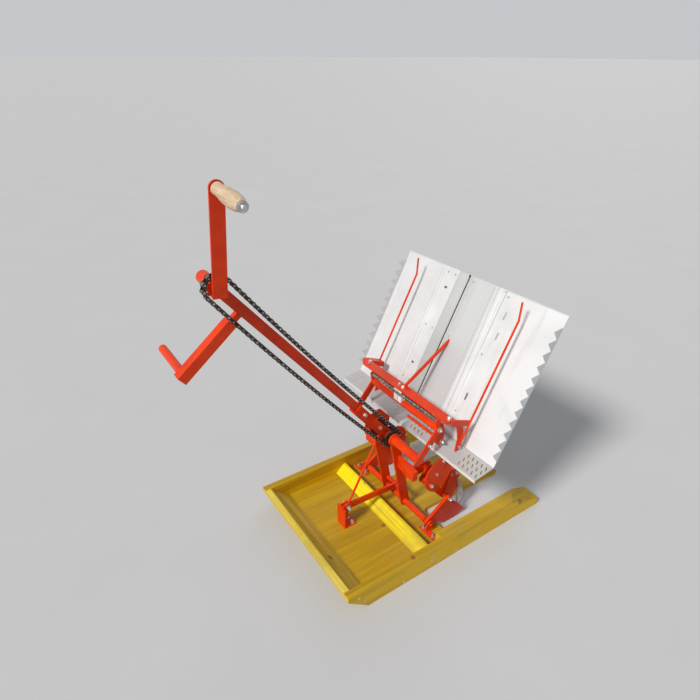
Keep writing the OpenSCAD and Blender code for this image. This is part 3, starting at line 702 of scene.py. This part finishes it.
def linkage_rod(name, body, x, a, b, radius):
    """A thin rod with a flattened eye at each end, between two (y, z) places."""
    mesh = bmesh.new()
    start, end = at(x, a), at(x, b)
    r = radius / 1000
    rod(mesh, standing(start, end - start), r, (end - start).length, 0.001, 14)
    for point in (start, end):
        eye = standing(point - Vector((r, 0, 0)), RIGHT)
        ring(mesh, eye, [(r * 2.1, 0.0), (r * 2.3, r * 0.4), (r * 2.3, r * 1.6), (r * 2.1, r * 2.0)], 18)
    return piece(name, mesh, ENAMEL, body)


def pusher_rods():
    for s, suffix, _ in PLANTING_ROWS:
        linkage_rod("pusher_rod_" + suffix, "arm_" + suffix, s * ROD_SIDE, ROCKER_EYE, ROD_TOP, ROD_RADIUS)


pusher_rods()


# Folds, rivets and hems of the tray. A fold line is (x, off) pairs: off is how far it stands above the pan.
# Rows are places along the plate, from its fold upward.
PLATE_FOOT = 9
PLATE_MIDDLE = 184
PLATE_HEAD = 358.8

STEP_LINE = [(-122, 0.2), (-119.5, 1.3), (-115, 1.5), (-112, 1.1), (-104, 8.8), (-101.5, 9.4), (-98, 8.8),
             (-84, 8.6), (-75, 8.6), (-58, 8.6), (-54, 8.0), (-32, 1.6), (-31, 1.2)]
STEP_SLOTS_FROM = (101, 306)
STEP_SLOT_LENGTH = 5
STEP_SLOT_FOLD = 7
EDGE_LINE = [(-26, 2.4), (-25, 3.0), (-16, 6.7), (-12.5, 7.2), (4, 7.1), (8, 6.6), (54, 1.2), (57, 0.2)]
RIB_LINE = [(58, 0.2), (60, 1.0), (65, 5.2), (67, 5.7), (73, 5.7), (75, 5.2), (80, 1.0), (82, 0.2)]
# A dark strip between the pans: painted shadow of the gap.
GAP_SHADOW_LINE = [(-32.5, 1.9), (-25.5, 1.9)]

# How many folds lean to the right toward the foot, and by how much there.
STEP_LEAN = (7, 11)
RIB_LEAN = (8, 12)

RIVET_ROWS = (60, 205, 346)
RIVET_COLUMNS = ((-91, 8.6), (-66, 8.6), (-8, 7.1), (95, 0.0))

HEM_STARTS = (TRAY_X - 249, TRAY_X + 7)
HEM_PLACE = (357.4, -0.9)
HEM_LENGTH = 242
HEM_RADIUS = 1.5
HEM_CHAMFER = 0.6


def folded_sheet(name, low_line, high_line, rows, slots=(), thick=0.9, material=SHEET):
    """A sheet folded along the tray, from one fold line at its foot to another at its head.

    Slots are (fold, row) cells that are cut out.
    """
    mesh = bmesh.new()
    top, under = [], []
    for along in rows:
        share = (along - rows[0]) / (rows[-1] - rows[0])
        line = [(x0 + (x1 - x0) * share, off0 + (off1 - off0) * share)
                for (x0, off0), (x1, off1) in zip(low_line, high_line)]
        top.append([mesh.verts.new(at(x, plate_point(along, off))) for x, off in line])
        under.append([mesh.verts.new(at(x, plate_point(along, off - thick))) for x, off in line])
    last_row, last_fold = len(rows) - 2, len(low_line) - 2
    for j in range(last_row + 1):
        for i in range(last_fold + 1):
            corners = ((j, i), (j, i + 1), (j + 1, i + 1), (j + 1, i))
            cut = (i, j) in slots
            if not cut:
                mesh.faces.new([top[r][c] for r, c in corners])
                mesh.faces.new([under[r][c] for r, c in reversed(corners)])
            outer = (j == 0, i == last_fold, j == last_row, i == 0)
            for k in range(4):
                if cut or outer[k]:
                    (r0, c0), (r1, c1) = corners[k], corners[(k + 1) % 4]
                    mesh.faces.new((top[r0][c0], top[r1][c1], under[r1][c1], under[r0][c0]))
    return piece(name, mesh, material, "carriage")


def shifted(line, folds, amount):
    """The same fold line with its first folds moved sideways."""
    return [(x + amount if k < folds else x, off) for k, (x, off) in enumerate(line)]


def tray_folds():
    """The pressed step of the left pan, the raised edge of the right pan, its rib, and a dark strip of
    painted shadow in the gap between the pans.
    """
    rows = [PLATE_FOOT]
    for low in STEP_SLOTS_FROM:
        rows += [low, low + STEP_SLOT_LENGTH]
    rows.append(PLATE_HEAD)
    slots = {(STEP_SLOT_FOLD, 1), (STEP_SLOT_FOLD, 3)}
    folded_sheet("tray_step_left", shifted(STEP_LINE, *STEP_LEAN), STEP_LINE, rows, slots)
    halves = [PLATE_FOOT, PLATE_MIDDLE, PLATE_HEAD]
    folded_sheet("tray_edge_right", EDGE_LINE, EDGE_LINE, halves)
    folded_sheet("tray_rib_right", shifted(RIB_LINE, *RIB_LEAN), RIB_LINE, halves)
    # A dark oiled strip laid in the seam: painted shadow of the gap between the pans.
    gap_shadow_rows = [PLATE_FOOT, PLATE_HEAD - 0.4]
    folded_sheet("tray_gap_shadow", GAP_SHADOW_LINE, GAP_SHADOW_LINE, gap_shadow_rows, thick=0.6, material=OILED)


def tray_rivets():
    """Domed rivets that hold the pans to the ties behind them."""
    mesh = bmesh.new()
    dome = [(0.0030, 0.0), (0.0028, 0.0007), (0.0021, 0.0013), (0.0009, 0.0016)]
    off_face = (0, -math.sin(TRAY_SLOPE), math.cos(TRAY_SLOPE))
    for along in RIVET_ROWS:
        for x, off in RIVET_COLUMNS:
            ring(mesh, standing(at(x, plate_point(along, off)), off_face), dome, 14)
    return piece("tray_rivets", mesh, ZINC, "carriage")


def tray_hems():
    """The rolled hem along the top edge of each pan."""
    mesh = bmesh.new()
    for x in HEM_STARTS:
        m = standing(at(x, plate_point(*HEM_PLACE)), RIGHT)
        rod(mesh, m, HEM_RADIUS / 1000, HEM_LENGTH / 1000, HEM_CHAMFER / 1000, 12)
    return piece("tray_hems", mesh, SHEET, "carriage")


tray_folds()
tray_rivets()
tray_hems()


# Wood screws of the sled
RAIL_SIDES = ((215, RIGHT), (-185, LEFT))
RAIL_SCREWS = ((-272, 40), (-256, 20), (-68, 22), (-68, 32), (-150, 7), (10, 7))


def wood_screws():
    """Countersunk screws through the rails into the nose plank, the batten and the deck."""
    mesh = bmesh.new()
    head = [(0.0030, -0.0004), (0.0030, 0.0001), (0.0026, 0.0003), (0.0010, 0.0003)]
    for x, way in RAIL_SIDES:
        for place in RAIL_SCREWS:
            ring(mesh, standing(at(x, place), way), head, 16)
    return piece("wood_screws", mesh, ZINC, "frame")


wood_screws()


# Roller chain. A plate lies between two distances from the chain's middle.
# Rollers and pins are (radius, distance) pairs.
LINK_END = 4.0
LINK_WAIST = 2.0
INNER_PLATE = (3.95, 5.05)
OUTER_PLATE = (5.2, 6.3)
ROLLER = [(3.9, -3.9), (3.9, 3.9)]
CHAIN_PIN = [(1.2, -7.2), (1.9, -6.9), (1.9, 6.9), (1.2, 7.2)]


def sag_at(t):
    """How far a straight strand hangs down at a share t of its length."""
    return 4 * CHAIN_SAG * t * (1 - t)


def roller_at(i):
    """Centre of chain roller i in the chain's own plane: along the beam, across it."""
    i %= LINKS
    half = TEETH / 2
    if i <= STRAND_LINKS:
        return Vector((i * PITCH, SPROCKET_RADIUS - sag_at(i / STRAND_LINKS)))
    if i <= STRAND_LINKS + half:
        a = math.radians((i - STRAND_LINKS) * 360 / TEETH)
        return Vector((BEAM_LENGTH + SPROCKET_RADIUS * math.sin(a), SPROCKET_RADIUS * math.cos(a)))
    if i <= 2 * STRAND_LINKS + half:
        along = i - STRAND_LINKS - half
        return Vector((BEAM_LENGTH - along * PITCH, -SPROCKET_RADIUS - sag_at(along / STRAND_LINKS)))
    a = math.radians((i - 2 * STRAND_LINKS - half) * 360 / TEETH)
    return Vector((-SPROCKET_RADIUS * math.sin(a), -SPROCKET_RADIUS * math.cos(a)))


def link_outline(radius, waist):
    """Figure of eight outline of a chain plate, from one pin to the next."""
    points = []
    for center, first, neck in ((PITCH, -120, waist), (0, 60, -waist)):
        for k in range(9):
            a = math.radians(first + 240 * k / 8)
            points.append((center + radius * math.cos(a), radius * math.sin(a)))
        points.append((PITCH / 2, neck))
    return points


def add_plate(mesh, matrix, outline, x0, x1):
    """One flat link plate between two distances from the chain's middle."""
    low = [mesh.verts.new(matrix @ Vector((x, y, x0)) / 1000) for x, y in outline]
    high = [mesh.verts.new(matrix @ Vector((x, y, x1)) / 1000) for x, y in outline]
    bridge(mesh, [low, high])


def dressed_chain():
    """Link plates, and their pins and rollers worn bright, over the whole loop."""
    mesh, pins = bmesh.new(), bmesh.new()
    axes = Matrix(((0, 0, 1, 0), (1, 0, 0, 0), (0, 1, 0, 0), (0, 0, 0, 1)))
    place = Matrix.Translation((CHAIN_X, *MAIN_SHAFT)) @ axes @ Matrix.Rotation(BEAM_SLOPE, 4, "Z")
    outline = link_outline(LINK_END, LINK_WAIST)
    for i in range(LINKS):
        p, q = roller_at(i), roller_at(i + 1)
        heading = math.atan2(p.y - q.y, q.x - p.x)
        m = place @ Matrix.Translation((p.x, -p.y, 0)) @ Matrix.Rotation(heading, 4, "Z")
        near, far = INNER_PLATE if i % 2 == 0 else OUTER_PLATE
        for low, high in ((-far, -near), (near, far)):
            add_plate(mesh, m, outline, low, high)
        to_metres = Matrix.Scale(0.001, 4) @ m
        ring(pins, to_metres, ROLLER, 14)
        ring(pins, to_metres, CHAIN_PIN, 10)
    piece("chain_rollers", pins, WORN, "frame")
    chain = piece("roller_chain", mesh, OILED, "frame")
    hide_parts("chain")


dressed_chain()


# Floor, light and camera
FLOOR_SIZE = 300
FLOOR_TONES = ((0.52, 0.52, 0.53), (0.56, 0.56, 0.57))
WORLD_COLOR = (0.82, 0.84, 0.87, 1)
WORLD_LIGHT = 0.36
WORLD_SEEN = 0.68

# The camera that took the photo, solved from it.
CAMERA_RIGHT = (0.5594, 0.8288, 0.0055)
CAMERA_UP = (-0.3995, 0.2638, 0.8780)
CAMERA_PLACE = (0.8275, -0.7162, 1.0487)
CAMERA_LENS = 28.03
CAMERA_SENSOR = 36


def floor():
    n = Nodes("studio_floor")
    mat = n.finish(n.mix(n.noise(3, 3), *FLOOR_TONES), 0.7)
    bpy.ops.mesh.primitive_plane_add(size=FLOOR_SIZE, location=(0, 0, 0))
    plane = bpy.context.object
    plane.name = "floor"
    plane.data.materials.append(mat)


def sun_light(name, toward, spread, strength, color):
    """An even light from one direction; spread in degrees softens its shadows."""
    data = bpy.data.lights.new(name, "SUN")
    data.angle = math.radians(spread)
    data.energy = strength
    data.color = color
    light = bpy.data.objects.new(name, data)
    light.rotation_euler = Vector(toward).to_track_quat("Z", "Y").to_euler()
    light.location = Vector(toward).normalized() * 3
    bpy.context.scene.collection.objects.link(light)


def studio_world():
    """An even world: dim as a light, and as pale as the floor where a camera or a mirror sees it."""
    world = bpy.data.worlds.new("studio")
    world.use_nodes = True
    tree = world.node_tree
    backdrop = tree.nodes["Background"]
    backdrop.inputs[0].default_value = WORLD_COLOR
    path = tree.nodes.new("ShaderNodeLightPath")
    seen = path.outputs["Is Camera Ray"]
    for other in ("Is Glossy Ray", "Is Transmission Ray"):
        total = tree.nodes.new("ShaderNodeMath")
        total.operation = "MAXIMUM"
        tree.links.new(seen, total.inputs[0])
        tree.links.new(path.outputs[other], total.inputs[1])
        seen = total.outputs[0]
    strength = tree.nodes.new("ShaderNodeMapRange")
    strength.inputs["To Min"].default_value = WORLD_LIGHT
    strength.inputs["To Max"].default_value = WORLD_SEEN
    tree.links.new(seen, strength.inputs["Value"])
    tree.links.new(strength.outputs[0], backdrop.inputs[1])
    bpy.context.scene.world = world


def camera():
    right = Vector(CAMERA_RIGHT)
    up = Vector(CAMERA_UP)
    data = bpy.data.cameras.new("photo_camera")
    data.lens = CAMERA_LENS
    data.sensor_width = CAMERA_SENSOR
    cam = bpy.data.objects.new("photo_camera", data)
    m = Matrix((right, up, right.cross(up))).transposed().to_4x4()
    m.translation = CAMERA_PLACE
    cam.matrix_world = m
    bpy.context.scene.collection.objects.link(cam)
    bpy.context.scene.camera = cam


floor()
sun_light("key", toward=(0.15, -0.74, 0.69), spread=12, strength=3.15, color=(1.0, 0.985, 0.95))
sun_light("back", toward=(-0.5, 0.75, 0.55), spread=40, strength=0.35, color=(0.95, 0.97, 1.0))
studio_world()
camera()
bpy.context.scene.view_settings.view_transform = "Standard"
